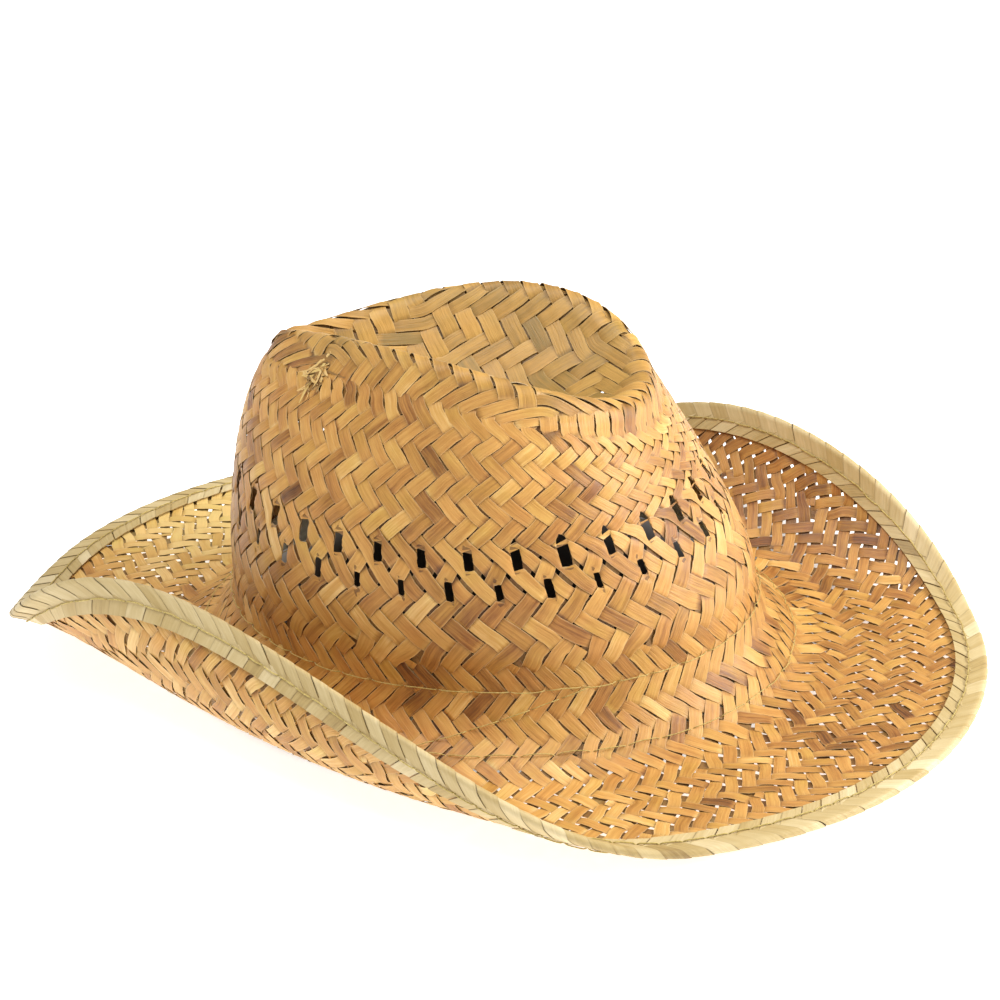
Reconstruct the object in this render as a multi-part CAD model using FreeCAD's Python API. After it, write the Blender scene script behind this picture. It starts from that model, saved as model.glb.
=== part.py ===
import FreeCAD, Part
import math
import os

# Woven straw cowboy hat, in millimetres.
# Origin: centre of the head opening, in the plane where the brim leaves the crown.
# +Z goes up to the crown, -Y is the wearer's front, +X and -X are the two sides.

Vector = FreeCAD.Vector

# ---- head opening and crown ----
BASE_X = 84.0            # half-width of the crown where its wall starts
BASE_Y = 101.0           # half-length of the crown where its wall starts
FILLET = 32.0            # radius of the sweep from crown wall into brim
RIDGE_X = 41.5           # half-width of the teardrop ridge
RIDGE_Y = 69.8           # half-length of the teardrop ridge
RIDGE_SHIFT_Y = -7.5     # the ridge sits towards the front
RIDGE_TAPER = 0.55       # how much the ridge narrows to the front
RIDGE_PINCH = -0.22      # extra narrowing at both ends
RIDGE_Z = 124.0          # mean height of the ridge
RIDGE_DROP_BACK = 4.0    # back of the ridge is lower than the front
RIDGE_ARCH = 8.5         # sides of the ridge are higher than its ends
RIDGE_TILT = 3.0         # +X side of the ridge is higher than the -X side
RIDGE_WAVE = 1.5         # small wave that lowers the back corner
RIDGE_REACH = 9.0        # the rounded ridge starts and ends this far from its top
WALL_SPREAD = 0.3        # how much flatter than its chord the wall leaves the ridge
WALL_SPREAD_FRONT = 0.25 # more of it at the front, less at the back
WALL_UPRIGHT = 0.27      # share of the wall's height that stands upright at its foot
WALL_UPRIGHT_FRONT = 0.08 # more of it at the front, less at the back
WALL_LEAVE = 0.3         # share of the wall's height over which it leaves the ridge straight
WALL_SEARCH_ROUNDS = 30  # halvings when a height is looked up on the wall
DENT_Y = -4.0            # deepest point of the top dent
DENT_Z = 96.0
DENT_POWER = 1.6         # the dent floor is flat in the middle and steep at the ridge
DENT_DISC = 4.0          # radius of the flat centre of the dent

# ---- brim: a flat oval sheet, then rolled up along the sides ----
BRIM_X = 156.0           # flat half-width
BRIM_FRONT = 190.0       # flat reach to the front
BRIM_BACK = 186.0        # flat reach to the back
BRIM_SQUARENESS = 2.05   # exponent of the oval outline
FRONT_LIFT = 5.0         # the front tip rises this much
BACK_DIP = 7.0           # the back edge drops this much
REACH_Y = 190.0          # length that turns a y into a share of the brim
# Each side's roll starts this far from the middle and bends this much (1/mm). The three numbers
# belong to the side's middle, its change towards the back, and the square of that change.
NEAR_START = (108.0, 56.0, -54.0)
NEAR_CURVATURE = (0.045, 0.009, -0.031)
FAR_START = (63.0, 0.0, 0.0)
FAR_CURVATURE = (0.004, 0.024, 0.0)
CURVATURE_SOFTNESS = 0.004

WEAVE = 1.4              # thickness of the two-layer weave

# ---- vent slits ----
VENT_COUNT = 30          # slits in each of the two rows
VENT_Z = (73.0, 61.5)
VENT_LENGTH = 9.0
VENT_WIDTH = 2.4
VENT_DEPTH = 8.0

# ---- folded braid over the brim edge ----
BINDING_WIDTH = 9.5      # how far the braid reaches in from the edge
BINDING = 0.8            # thickness of the braid
BINDING_INNER = 1.0      # half-gap inside the fold
FOLD_CENTRE = 1.0        # centre of the fold, outside the weave's edge

# ---- wire in the fold ----
WIRE_R = 0.6
WIRE_OUT = 1.2           # wire centre, outside the weave's edge
WIRE_GAP = 6.0           # open length between the wire's two ends
SLEEVE_BORE = 0.65
SLEEVE_R = 0.85
SLEEVE_LENGTH = 18.0

# ---- sweatband and threads ----
BAND = 1.0               # thickness of the fabric sweatband
BAND_CLEAR = 0.3
BAND_TOP_Z = 30.0
BAND_LOW_Z = 3.6
BAND_BUTT = 0.6          # gap between the band's two ends
UPPER_STITCH_Z = 25.0
LOWER_STITCH_Z = 5.4
THREAD_R = 0.35
THREAD_CLEAR = 0.05
BINDING_STITCH_IN = 4.6  # stitch line, in from the brim edge
SEAM_STITCHES = 6
SEAM_STITCH_LENGTH = 5.0
SEAM_TOP_Z = 22.0        # highest stitch across the band's butt joint
SEAM_STEP = 2.6

# ---- sampling of the curved surfaces ----
AROUND = 96
DENT_STEPS = 7
RIDGE_STEPS = 5
WALL_STEPS = 9
FILLET_STEPS = 7
BRIM_STEPS = 13
RING_STEPS = 72
BINDING_STEPS = 4        # flats across each arm of the folded braid
FOLD_STEPS = 5           # flats around its fold
THREAD_SIDES = 6         # threads and wire are bars with this many flat sides
BAND_STEPS = 7
VENT_RING_STEPS = 240    # chords that measure the length of a ring of slits
SPLINE_ROUNDS = 40       # rounds of the even spline's solution
SMALL_TURN = 0.002       # step for a direction around the hat
SMALL_STEP = 0.05        # step for a direction across the brim
SMALL_SHARE = 0.02       # step for a direction along the wall
FRONT = -math.pi / 2
BACK = math.pi / 2       # the closing seam of every ring lies at the back


def soft_positive(value, softness):
    """value where it is well above zero, and smoothly near zero below."""
    return 0.5 * (value + math.hypot(value, softness))


def signed_power(value, power):
    return math.copysign(abs(value) ** power, value)


def along_side(values, share):
    """Value at this share of the brim's reach: negative to the front, positive to the back."""
    middle, change, square = values
    return middle + change * share + square * share ** 2


def roll_values(side, share):
    """Where the roll starts, in from the middle, and its curvature, for one side of the brim."""
    starts, curvatures = (NEAR_START, NEAR_CURVATURE) if side > 0 else (FAR_START, FAR_CURVATURE)
    curvature = soft_positive(along_side(curvatures, share), CURVATURE_SOFTNESS)
    return along_side(starts, share), curvature


def roll(x, y):
    """Move a point of the flat sheet to its place on the rolled brim."""
    share = y / REACH_Y
    start, curvature = roll_values(x, share)
    beyond = max(abs(x) - start, 0.0)
    angle = curvature * beyond
    rolled_x = abs(x) - beyond + math.sin(angle) / curvature
    z = (1.0 - math.cos(angle)) / curvature
    lift = FRONT_LIFT if y < 0 else -BACK_DIP
    return Vector(math.copysign(rolled_x, x), y, z + lift * share ** 2)


def flat_ends(theta):
    """Crown end and outer end of the brim's flat line at this angle."""
    c = math.cos(theta)
    s = math.sin(theta)
    power = 2.0 / BRIM_SQUARENESS
    reach = BRIM_FRONT if s < 0 else BRIM_BACK
    inner = (BASE_X * c, BASE_Y * s)
    outer = (BRIM_X * signed_power(c, power), reach * signed_power(s, power))
    return inner, outer


def brim_width(theta):
    inner, outer = flat_ends(theta)
    return math.hypot(outer[0] - inner[0], outer[1] - inner[1])


def brim_point(theta, distance):
    """Middle of the weave, this far out from the crown wall along the flat sheet."""
    inner, outer = flat_ends(theta)
    t = distance / brim_width(theta)
    point = roll(inner[0] + t * (outer[0] - inner[0]), inner[1] + t * (outer[1] - inner[1]))
    if distance < FILLET:
        point.z += FILLET - math.sqrt(FILLET ** 2 - (FILLET - distance) ** 2)
    return point


def ridge_point(theta):
    c = math.cos(theta)
    s = math.sin(theta)
    x = RIDGE_X * c * (1.0 + RIDGE_TAPER * s + RIDGE_PINCH * s * s)
    y = RIDGE_SHIFT_Y + RIDGE_Y * s
    z = RIDGE_Z - RIDGE_DROP_BACK * s + RIDGE_ARCH * math.cos(2 * theta)
    z += RIDGE_TILT * c + RIDGE_WAVE * math.sin(3 * theta)
    return Vector(x, y, z)


def bezier(points, t):
    """Point at t on the Bezier curve with these control points."""
    while len(points) > 1:
        points = [a + (b - a) * t for a, b in zip(points, points[1:])]
    return points[0]


def unit(vector):
    return vector * (1.0 / vector.Length)


def crown_corners(theta):
    """Dent centre, inner and outer ends of the rounded ridge, its control point, and wall foot."""
    ridge = ridge_point(theta)
    centre = Vector(0, DENT_Y, DENT_Z)
    foot = brim_point(theta, 0.0)
    inner = ridge + unit(centre - ridge) * RIDGE_REACH
    outer = ridge + wall_leaving(ridge, foot) * RIDGE_REACH
    control = ridge * 2.0 - (inner + outer) * 0.5
    return centre, inner, control, outer, foot


def wall_leaving(ridge, foot):
    """Direction in which the wall leaves the ridge: its chord, turned outward."""
    chord = unit(foot - ridge)
    outward = unit(Vector(foot.x / BASE_X, foot.y / BASE_Y, 0))
    return unit(chord + outward * (WALL_SPREAD - WALL_SPREAD_FRONT * outward.y))


def dent_point(theta, t):
    centre, inner, _, _, _ = crown_corners(theta)
    disc = centre + Vector(math.cos(theta), math.sin(theta), 0) * DENT_DISC
    point = disc + (inner - disc) * t
    point.z = centre.z + (inner.z - centre.z) * t ** DENT_POWER
    return point


def ridge_round_point(theta, t):
    _, inner, control, outer, _ = crown_corners(theta)
    return bezier([inner, control, outer], t)


def wall_point(theta, t):
    _, _, _, outer, foot = crown_corners(theta)
    height = outer.z - foot.z
    leave = outer + wall_leaving(ridge_point(theta), foot) * (WALL_LEAVE * height)
    upright = WALL_UPRIGHT - WALL_UPRIGHT_FRONT * math.sin(theta)
    arrive = foot + Vector(0, 0, upright * height)
    return bezier([outer, leave, arrive, foot], t)


def meridian(theta):
    """Middle line of the weave from the dent's centre over the ridge and out to the brim edge."""
    points = [dent_point(theta, i / DENT_STEPS) for i in range(DENT_STEPS)]
    points += [ridge_round_point(theta, i / RIDGE_STEPS) for i in range(RIDGE_STEPS)]
    points += [wall_point(theta, i / WALL_STEPS) for i in range(WALL_STEPS)]
    # equal turns of the fillet, then equal steps of the open brim
    turns = [0.5 * math.pi * i / FILLET_STEPS for i in range(FILLET_STEPS)]
    points += [brim_point(theta, FILLET * (1.0 - math.cos(turn))) for turn in turns]
    open_brim = brim_width(theta) - FILLET
    points += [brim_point(theta, FILLET + open_brim * i / BRIM_STEPS) for i in range(BRIM_STEPS + 1)]
    return points


def ring_angles(count):
    """Even angles once around the hat, from the back."""
    return [BACK + 2 * math.pi * i / count for i in range(count)]


def offset_grid(grid, distance):
    """Move each point of a closed ring of meridians along the sheet's upper normal."""
    rows = len(grid)
    moved = []
    for i in range(rows):
        row = []
        for j, point in enumerate(grid[i]):
            along = grid[i][min(j + 1, len(grid[i]) - 1)] - grid[i][max(j - 1, 0)]
            around = grid[(i + 1) % rows][j] - grid[i - 1][j]
            normal = unit(along.cross(around)) if j else Vector(0, 0, 1)
            row.append(point + normal * distance)
        moved.append(row)
    return moved


def smooth_poles(points, closed):
    """Poles of the even cubic spline through these points; open ends are left straight."""
    count = len(points)
    poles = list(points)
    for _ in range(SPLINE_ROUNDS):
        better = []
        for i, point in enumerate(points):
            if closed or 0 < i < count - 1:
                point = (point * 6 - poles[i - 1] - poles[(i + 1) % count]) * 0.25
            better.append(point)
        poles = better
    return poles


def open_poles(points):
    """The same spline with its end poles on the end points, two poles to each span."""
    poles = smooth_poles(points, False)
    result = [points[0]]
    for a, b in zip(poles, poles[1:]):
        result += [(a * 2 + b) * (1 / 3), (a + b * 2) * (1 / 3)]
    result.append(points[-1])
    return result


def skin(grid, closed):
    """Smooth surface through a grid: rows go around the hat, points go out along each row."""
    rows = [open_poles(row) for row in grid]
    columns = [list(column) for column in zip(*rows)]
    spread = [smooth_poles(column, True) if closed else open_poles(column) for column in columns]
    poles = list(zip(*spread))
    out_spans = len(grid[0]) - 1
    out_mults = [4] + [2] * (out_spans - 1) + [4]
    around_spans = len(grid) if closed else len(grid) - 1
    around_mults = [1] * (around_spans + 1) if closed else [4] + [2] * (around_spans - 1) + [4]
    surface = Part.BSplineSurface()
    surface.buildFromPolesMultsKnots(
        [list(row) for row in poles], around_mults, out_mults,
        list(range(around_spans + 1)), list(range(out_spans + 1)), closed, False, 3, 3,
    )
    return surface


def border(surface, which):
    """One edge of a skin: its start or end around the hat, or its inner or outer rim."""
    first_u, last_u, first_v, last_v = surface.bounds()
    if which in ("start", "end"):
        curve = surface.uIso(first_u if which == "start" else last_u)
    else:
        curve = surface.vIso(first_v if which == "inner" else last_v)
    return curve.toShape()


def solid_of(faces):
    shell = Part.makeShell(faces)
    if len(faces) > 1:
        shell.sewShape()
    solid = Part.makeSolid(shell)
    if solid.Volume < 0:
        solid.reverse()
    return solid


def sheet_faces(upper_grid, lower_grid, closed, bridged):
    """Two skins and their faces; the named borders are joined by ruled strips."""
    upper = skin(upper_grid, closed)
    lower = skin(lower_grid, closed)
    faces = [upper.toShape(), lower.toShape()]
    for which in bridged:
        faces.append(Part.makeRuledSurface(border(upper, which), border(lower, which)))
    return upper, lower, faces


def point_and_normal(theta, distance):
    """Point of the brim and its upper normal; beyond the edge the brim's tangent is followed."""
    inside = min(distance, brim_width(theta))
    point = brim_point(theta, inside)
    along = point - brim_point(theta, inside - SMALL_STEP)
    share = inside / brim_width(theta)
    side = theta + SMALL_TURN
    around = brim_point(side, share * brim_width(side)) - point
    point += unit(along) * (distance - inside)
    return point, unit(along.cross(around))


def bar_sections(centres, radius, closed):
    """Corners of a flat-sided bar through these centres, one section per centre."""
    count = len(centres)
    sections = []
    for i, centre in enumerate(centres):
        after = centres[(i + 1) % count] if closed else centres[min(i + 1, count - 1)]
        before = centres[i - 1] if closed else centres[max(i - 1, 0)]
        side = unit((after - before).cross(Vector(0, 0, 1)))
        rise = unit(side.cross(after - before))
        turns = [2 * math.pi * k / THREAD_SIDES for k in range(THREAD_SIDES)]
        sections.append(
            [centre + (side * math.cos(turn) + rise * math.sin(turn)) * radius for turn in turns]
        )
    return sections


def corner_curve(points, closed):
    """Smooth curve through one corner of every section."""
    spans = len(points) if closed else len(points) - 1
    poles = smooth_poles(points, True) if closed else open_poles(points)
    mults = [1] * (spans + 1) if closed else [4] + [2] * (spans - 1) + [4]
    curve = Part.BSplineCurve()
    curve.buildFromPolesMultsKnots(poles, mults, list(range(spans + 1)), closed, 3)
    return curve.toShape()


def bar(sections, closed):
    """Solid swept through these sections: a closed ring, or a bar with two flat ends."""
    curves = [corner_curve(list(corner), closed) for corner in zip(*sections)]
    faces = [Part.makeRuledSurface(a, b) for a, b in zip(curves, curves[1:] + curves[:1])]
    if not closed:
        for section in (sections[0], sections[-1]):
            faces.append(Part.Face(Part.makePolygon(section + section[:1])))
    return solid_of(faces)


def thread_ring(centres):
    """Closed thread through these centres."""
    return bar(bar_sections(centres, THREAD_R, True), True)


def open_bar(centres, radius):
    """Bar with flat ends through these centres."""
    return bar(bar_sections(centres, radius, False), False)


# ---- the pieces ----

def slit_angles(z, first):
    """Angles that share a wall ring evenly by length; first is in spacings from the front."""
    turns = [FRONT + 2 * math.pi * i / VENT_RING_STEPS for i in range(VENT_RING_STEPS + 1)]
    points = [wall_point(theta, wall_share_at(theta, z)) for theta in turns]
    run = [0.0]
    for a, b in zip(points, points[1:]):
        run.append(run[-1] + (b - a).Length)
    angles = []
    for i in range(VENT_COUNT):
        target = run[-1] * (i + first) / VENT_COUNT
        k = max(n for n in range(VENT_RING_STEPS) if run[n] <= target)
        share = (target - run[k]) / (run[k + 1] - run[k])
        angles.append(turns[k] + share * (turns[k + 1] - turns[k]))
    return angles


def slit_box(theta, z):
    """Thin box that stands across the wall and leans with it."""
    t = wall_share_at(theta, z)
    point = wall_point(theta, t)
    up = unit(wall_point(theta, t - SMALL_SHARE) - wall_point(theta, t + SMALL_SHARE))
    around = wall_point(theta + SMALL_TURN, t) - wall_point(theta - SMALL_TURN, t)
    out = unit(around.cross(up))
    around = up.cross(out)
    box = Part.makeBox(VENT_WIDTH, VENT_LENGTH, VENT_DEPTH)
    box.translate(Vector(-VENT_WIDTH / 2, -VENT_LENGTH / 2, -VENT_DEPTH / 2))
    turned = FreeCAD.Matrix(
        around.x, up.x, out.x, point.x,
        around.y, up.y, out.y, point.y,
        around.z, up.z, out.z, point.z,
        0, 0, 0, 1,
    )
    return box.transformGeometry(turned)


def vent_cutter():
    """One box per slit; the lower row lies half a spacing on from the upper row."""
    boxes = []
    for row, z in enumerate(VENT_Z):
        boxes += [slit_box(theta, z) for theta in slit_angles(z, 0.5 * row)]
    return Part.makeCompound(boxes)


def wall_share_at(theta, z):
    """Share of the wall, from ridge to foot, where it passes this height."""
    low, high = 0.0, 1.0
    for _ in range(WALL_SEARCH_ROUNDS):
        middle = 0.5 * (low + high)
        if wall_point(theta, middle).z > z:
            low = middle
        else:
            high = middle
    return low


def woven_body():
    """Crown and brim, woven in one piece, with the vent slits cut through."""
    grid = [meridian(theta) for theta in ring_angles(AROUND)]
    upper, lower, faces = sheet_faces(
        offset_grid(grid, WEAVE / 2), offset_grid(grid, -WEAVE / 2), True, ["outer"]
    )
    for surface in (upper, lower):
        faces.append(Part.Face(Part.Wire(border(surface, "inner"))))
    return solid_of(faces).cut(vent_cutter())


def edge_binding():
    """Braid folded over the brim edge: a U in section, all the way round."""

    def side_of_fold(theta, half):
        """Points across the U, this far from its middle line, from the upper lip to the lower."""
        inside = [BINDING_WIDTH * (1 - i / BINDING_STEPS) for i in range(BINDING_STEPS)]
        fold = [math.pi * i / FOLD_STEPS for i in range(FOLD_STEPS + 1)]
        places = [(-d, half) for d in inside]
        places += [(FOLD_CENTRE + half * math.sin(a), half * math.cos(a)) for a in fold]
        places += [(-d, -half) for d in reversed(inside)]
        points = []
        for outward, height in places:
            point, normal = point_and_normal(theta, brim_width(theta) + outward)
            points.append(point + normal * height)
        return points

    sections = []
    for theta in ring_angles(RING_STEPS):
        outer = side_of_fold(theta, BINDING_INNER + BINDING)
        inner = side_of_fold(theta, BINDING_INNER)
        sections.append(outer + inner[::-1])
    return bar(sections, True)


def edge_path(outward, height, angles):
    points = []
    for theta in angles:
        point, normal = point_and_normal(theta, brim_width(theta) + outward)
        points.append(point + normal * height)
    return points


def brim_wire():
    """Spring wire inside the fold that holds the brim's roll; its ends stop at the back."""
    half_gap = 0.5 * WIRE_GAP / BRIM_BACK
    sweep = 2 * math.pi - 2 * half_gap
    angles = [BACK + half_gap + sweep * i / (2 * RING_STEPS) for i in range(2 * RING_STEPS + 1)]
    return open_bar(edge_path(WIRE_OUT, 0.0, angles), WIRE_R)


def wire_sleeve():
    """Crimped tube that joins the two ends of the wire."""
    half = 0.5 * SLEEVE_LENGTH / BRIM_BACK
    angles = [BACK - half + 2 * half * i / 4 for i in range(5)]
    path = edge_path(WIRE_OUT, 0.0, angles)
    return open_bar(path, SLEEVE_R).cut(open_bar(path, SLEEVE_BORE))


def binding_stitch():
    """Top and bottom threads of the seam along the braid."""
    height = BINDING_INNER + BINDING + THREAD_R + THREAD_CLEAR
    angles = ring_angles(2 * RING_STEPS)
    rings = [thread_ring(edge_path(-BINDING_STITCH_IN, side * height, angles)) for side in (1, -1)]
    return Part.makeCompound(rings)


def fillet_distance(z):
    """Distance out from the wall where the fillet passes this height."""
    return FILLET - math.sqrt(FILLET ** 2 - (FILLET - z) ** 2)


def band_grid(angles, depth):
    """Rows of the sweatband at this depth inside the weave's middle."""
    grid = []
    for theta in angles:
        row = []
        for i in range(BAND_STEPS + 1):
            z = BAND_TOP_Z + (BAND_LOW_Z - BAND_TOP_Z) * i / BAND_STEPS
            point, normal = point_and_normal(theta, fillet_distance(z))
            row.append(point - normal * depth)
        grid.append(row)
    return grid


def sweatband():
    """Fabric strip around the head opening; its ends butt together at the back."""
    half_butt = 0.5 * BAND_BUTT / BASE_X
    sweep = 2 * math.pi - 2 * half_butt
    angles = [BACK + half_butt + sweep * i / RING_STEPS for i in range(RING_STEPS + 1)]
    near = WEAVE / 2 + BAND_CLEAR
    sides = ["start", "end", "inner", "outer"]
    faces = sheet_faces(band_grid(angles, near), band_grid(angles, near + BAND), False, sides)[2]
    return solid_of(faces)


def sweatband_stitch(z):
    """Thread outside the weave and thread inside the sweatband, at one height."""
    outside = WEAVE / 2 + THREAD_R + THREAD_CLEAR
    inside = WEAVE / 2 + BAND_CLEAR + BAND + THREAD_R + THREAD_CLEAR
    rings = []
    for height in (outside, -inside):
        centres = []
        for theta in ring_angles(2 * RING_STEPS):
            point, normal = point_and_normal(theta, fillet_distance(z))
            centres.append(point + normal * height)
        rings.append(thread_ring(centres))
    return Part.makeCompound(rings)


def sweatband_seam_stitch():
    """Short bars of thread across the butt joint of the sweatband."""
    depth = WEAVE / 2 + BAND_CLEAR + BAND + THREAD_R + THREAD_CLEAR
    half = 0.5 * SEAM_STITCH_LENGTH / BASE_X
    bars = []
    for i in range(SEAM_STITCHES):
        z = SEAM_TOP_Z - i * SEAM_STEP
        centres = []
        for theta in (BACK - half, BACK, BACK + half):
            point, normal = point_and_normal(theta, fillet_distance(z))
            centres.append(point - normal * depth)
        bars.append(open_bar(centres, THREAD_R))
    return Part.makeCompound(bars)


def main():
    pieces = {
        "woven_body": woven_body(),
        "edge_binding": edge_binding(),
        "brim_wire": brim_wire(),
        "wire_sleeve": wire_sleeve(),
        "binding_stitch": binding_stitch(),
        "sweatband": sweatband(),
        "sweatband_upper_stitch": sweatband_stitch(UPPER_STITCH_Z),
        "sweatband_lower_stitch": sweatband_stitch(LOWER_STITCH_Z),
        "sweatband_seam_stitch": sweatband_seam_stitch(),
    }
    os.makedirs("parts", exist_ok=True)
    for name, shape in pieces.items():
        shape.exportStep(f"parts/{name}.step")
        box = shape.BoundBox
        print(name, "valid", shape.isValid(), "solids", len(shape.Solids), "volume", round(shape.Volume),
              "box", [round(v, 1) for v in (box.XMin, box.XMax, box.YMin, box.YMax, box.ZMin, box.ZMax)])


main()
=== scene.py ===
import math

import bpy
import numpy as np
from mathutils import Matrix, Vector


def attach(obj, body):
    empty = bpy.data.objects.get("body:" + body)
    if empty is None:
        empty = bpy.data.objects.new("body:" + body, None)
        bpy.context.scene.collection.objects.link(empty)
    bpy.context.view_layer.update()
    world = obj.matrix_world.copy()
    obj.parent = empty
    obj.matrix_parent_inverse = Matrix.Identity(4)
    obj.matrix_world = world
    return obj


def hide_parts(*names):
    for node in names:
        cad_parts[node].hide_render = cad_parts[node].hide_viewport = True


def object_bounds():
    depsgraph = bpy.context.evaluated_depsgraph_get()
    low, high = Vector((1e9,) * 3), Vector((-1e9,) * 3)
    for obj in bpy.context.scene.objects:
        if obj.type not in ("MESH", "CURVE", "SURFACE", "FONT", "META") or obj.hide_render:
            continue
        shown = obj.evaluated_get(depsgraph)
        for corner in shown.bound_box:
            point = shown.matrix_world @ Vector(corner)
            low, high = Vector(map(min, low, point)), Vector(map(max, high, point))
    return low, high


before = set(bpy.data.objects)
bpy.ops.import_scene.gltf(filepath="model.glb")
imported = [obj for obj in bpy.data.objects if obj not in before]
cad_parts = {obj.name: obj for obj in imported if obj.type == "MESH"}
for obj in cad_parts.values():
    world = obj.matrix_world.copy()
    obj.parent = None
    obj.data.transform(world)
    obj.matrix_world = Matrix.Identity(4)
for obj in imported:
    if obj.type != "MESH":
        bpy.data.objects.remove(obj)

# Looks of the woven straw cowboy hat. Shapes are worked out in millimetres, as in the CAD, and
# mesh_object stores them in metres. The camera and the lights are placed in metres.
# -Y is the wearer's front. u is a share of the way round: 0 at the front, growing towards +X.

CAD_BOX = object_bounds()
MM = 0.001
rng = np.random.default_rng(11)

# ---- shape of the CAD surface, the same names and values as in the CAD source ----
BASE_X, BASE_Y, FILLET = 84.0, 101.0, 32.0
RIDGE_X, RIDGE_Y, RIDGE_SHIFT_Y = 41.5, 69.8, -7.5
RIDGE_TAPER, RIDGE_PINCH = 0.55, -0.22
RIDGE_Z, RIDGE_DROP_BACK, RIDGE_ARCH, RIDGE_TILT, RIDGE_WAVE = 124.0, 4.0, 8.5, 3.0, 1.5
RIDGE_REACH = 9.0
WALL_SPREAD, WALL_SPREAD_FRONT, WALL_LEAVE = 0.3, 0.25, 0.3
WALL_UPRIGHT, WALL_UPRIGHT_FRONT = 0.27, 0.08
DENT_Y, DENT_Z, DENT_POWER = -4.0, 96.0, 1.6
BRIM_X, BRIM_FRONT, BRIM_BACK, BRIM_SQUARENESS = 156.0, 190.0, 186.0, 2.05
FRONT_LIFT, BACK_DIP, REACH_Y = 5.0, 7.0, 190.0
NEAR_START, NEAR_CURVATURE = (108.0, 56.0, -54.0), (0.045, 0.009, -0.031)
FAR_START, FAR_CURVATURE = (63.0, 0.0, 0.0), (0.004, 0.024, 0.0)
CURVATURE_SOFTNESS = 0.004
WEAVE = 1.4
VENT_Z = (73.0, 61.5)
BINDING_WIDTH, BINDING_INNER, FOLD_CENTRE, BINDING_STITCH_IN = 9.5, 1.0, 1.0, 4.6
BAND, BAND_CLEAR, BAND_TOP_Z, BAND_LOW_Z, BAND_BUTT = 1.0, 0.3, 30.0, 3.6, 0.6
UPPER_STITCH_Z, LOWER_STITCH_Z = 25.0, 5.4

# ---- weave ----
DENT_ROWS, RIDGE_ROWS, WALL_ROWS = 40, 16, 81   # points looked up from the dent's centre to the wall's foot
MAT_RINGS = 15        # square rings of the crown's top, from its centre
WALL_CROSSINGS = 60   # crossings in each ring of the wall
MAT_END_T = 0.09      # the top mat ends this far down the wall
VENT_RING = 28        # ring at the upper row of slits
VENT_COUNT = 30       # slits in each row
FILLET_RING = 48      # ring where the flat brim begins
BRIM_RING_STEP = 4.0  # distance between rings of the brim
LAST_RING = 70
FIRST_INSERT_RING = 35
BRIM_PITCH = 7.1      # wanted distance between crossings of the brim
MOST_INSERTS = 5      # at most one new pair of strips for this many crossings
STRAW = 0.3           # thickness of one strip
WIDEST_LANE = 7.4     # no strip is wider than this
LIFT = 0.3            # a strip's middle is this far above or below the weave's middle
BULGE = 0.16          # a float rises this much more between its two crossings
SAMPLES = 8           # stations along a strip from one crossing to the next
MAT_TURN = 7 / 60     # share of a turn by which the weave is rotated
MAT_SMOOTHING = 0.7   # how smoothly the straight strips of the top meet at its corners
STRIP_END = 1.7       # strips end this far inside the brim's edge, under the braid
KNOT_U, KNOT_RING, KNOT_ENDS = 0.1188, 14.75, 30
SLIT_HALF_WIDTH = (1.85, 1.25)
SLIT_HALF_LENGTH = (6.9, 6.3)
SLIT_NEAR = 10.0      # a slit moves only the strips this near

# how much of its lane a strip fills, at these rings: tight crown, looser at the slits, open brim
FILL_RINGS = (0, 12, 26.5, 27, 31, 31.5, 40, 50)
FILL_SHARES = (0.92, 0.93, 0.93, 0.82, 0.82, 0.93, 0.92, 0.81)

# tones run from 0, burnt brown, to 1, bleached
MIDDLE_TONE = 0.5
STRIP_TONES, FLOAT_TONES = 0.055, 0.095   # spread from strip to strip, and along one strip
DARK_CHANCE, DARK_TONES = 0.014, (0.08, 0.25)
# painted light and shade in the tone: the dent darker as if in shade, the far-left brim and the brim's front
# and sides paler as if lit, its back darker as if in shade
DENT_SHADE_TONE, FAR_LIGHT_TONE, BRIM_LIGHT_TONE = -0.16, 0.3, 0.14
# painted shade starts where a face dips below its neighbours
SHADE_START, SHADE_RANGE = 0.14, 0.18     # a face this far below its neighbours is in shade
EDGE_WAVE = 0.012                         # how wavy the long edges of a strip are
SEEDS = 50                                # each strip looks up its own part of the noise


def sgnpow(value, power):
    return np.sign(value) * np.abs(value) ** power


def soft_positive(value, softness):
    return 0.5 * (value + np.hypot(value, softness))


def along_side(values, share):
    """A value that changes along one side of the brim, from its three numbers."""
    return values[0] + values[1] * share + values[2] * share ** 2


def roll(x, y):
    """Points of the flat brim sheet moved to the rolled brim."""
    share = y / REACH_Y
    start = np.where(x > 0, along_side(NEAR_START, share), along_side(FAR_START, share))
    near, far = (
        soft_positive(along_side(values, share), CURVATURE_SOFTNESS)
        for values in (NEAR_CURVATURE, FAR_CURVATURE)
    )
    curvature = np.where(x > 0, near, far)
    beyond = np.maximum(np.abs(x) - start, 0.0)
    angle = curvature * beyond
    rolled = np.abs(x) - beyond + np.sin(angle) / curvature
    z = (1.0 - np.cos(angle)) / curvature
    z = z + np.where(y < 0, FRONT_LIFT, -BACK_DIP) * share ** 2
    return np.stack([np.where(x > 0, rolled, -rolled), y, z], -1)


def flat_ends(theta):
    """Where the flat brim starts and ends at each angle."""
    c, s = np.cos(theta), np.sin(theta)
    power = 2.0 / BRIM_SQUARENESS
    reach = np.where(s < 0, BRIM_FRONT, BRIM_BACK)
    inner = np.stack([BASE_X * c, BASE_Y * s], -1)
    outer = np.stack([BRIM_X * sgnpow(c, power), reach * sgnpow(s, power)], -1)
    return inner, outer


def brim_width(theta):
    inner, outer = flat_ends(theta)
    return np.linalg.norm(outer - inner, axis=-1)


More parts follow.
